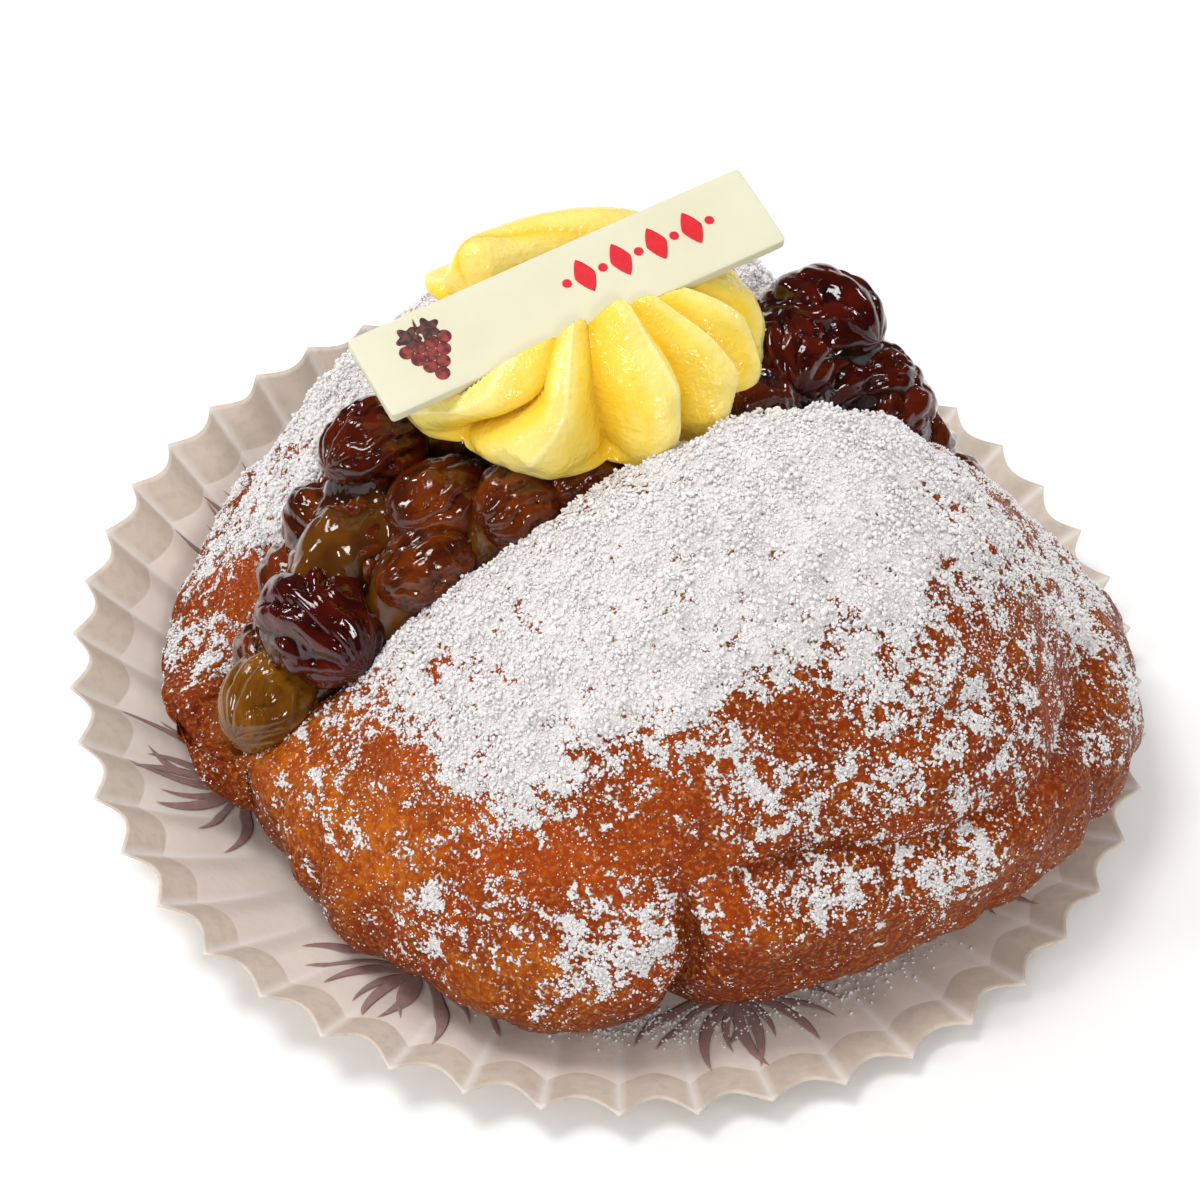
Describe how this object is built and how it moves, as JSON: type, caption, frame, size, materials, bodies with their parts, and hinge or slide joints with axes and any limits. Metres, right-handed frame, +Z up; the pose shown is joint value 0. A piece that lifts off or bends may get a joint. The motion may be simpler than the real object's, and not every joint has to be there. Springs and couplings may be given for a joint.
{
  "type": "rum raisin bun",
  "caption": "Fried bun cut open along its top, filled with raisins in dark jelly under a swirl of custard cream and a small plaque, dusted with sugar, in a pleated paper case.",
  "frame": {"origin": "middle of the paper case's flat bottom, on the surface it stands on", "axes": "+Z up, +X along the cut towards the bun's taller end, -Y towards the larger half"},
  "size_m": [0.1296, 0.1296, 0.0649],
  "materials": {
    "case_paper": "thin greaseproof paper with a plain band at the rim and leaf sprigs printed inside",
    "case_print": "flat brown ink on the paper",
    "crust": "fried dough crust, uneven and a little oily",
    "rum_jelly": "wet dark jelly",
    "raisin_skin": "wrinkled skin under wet jelly",
    "custard": "smooth moist cream",
    "white_chocolate": "smooth satin",
    "plaque_print": "red food print",
    "icing_sugar": "dry powder and clumps"
  },
  "bodies": {
    "root": {"paper_case": "case_paper", "bun": "crust", "raisin_filling": "rum_jelly", "raisin_01": "raisin_skin", "raisin_02": "raisin_skin", "raisin_03": "raisin_skin", "raisin_04": "raisin_skin", "raisin_05": "raisin_skin", "raisin_06": "raisin_skin", "raisin_07": "raisin_skin", "raisin_08": "raisin_skin", "raisin_09": "raisin_skin", "raisin_10": "raisin_skin", "raisin_11": "raisin_skin", "raisin_12": "raisin_skin", "raisin_13": "raisin_skin", "raisin_14": "raisin_skin", "raisin_15": "raisin_skin", "custard_cream": "custard", "chocolate_plaque": "white_chocolate"}
  },
  "joints": []
}
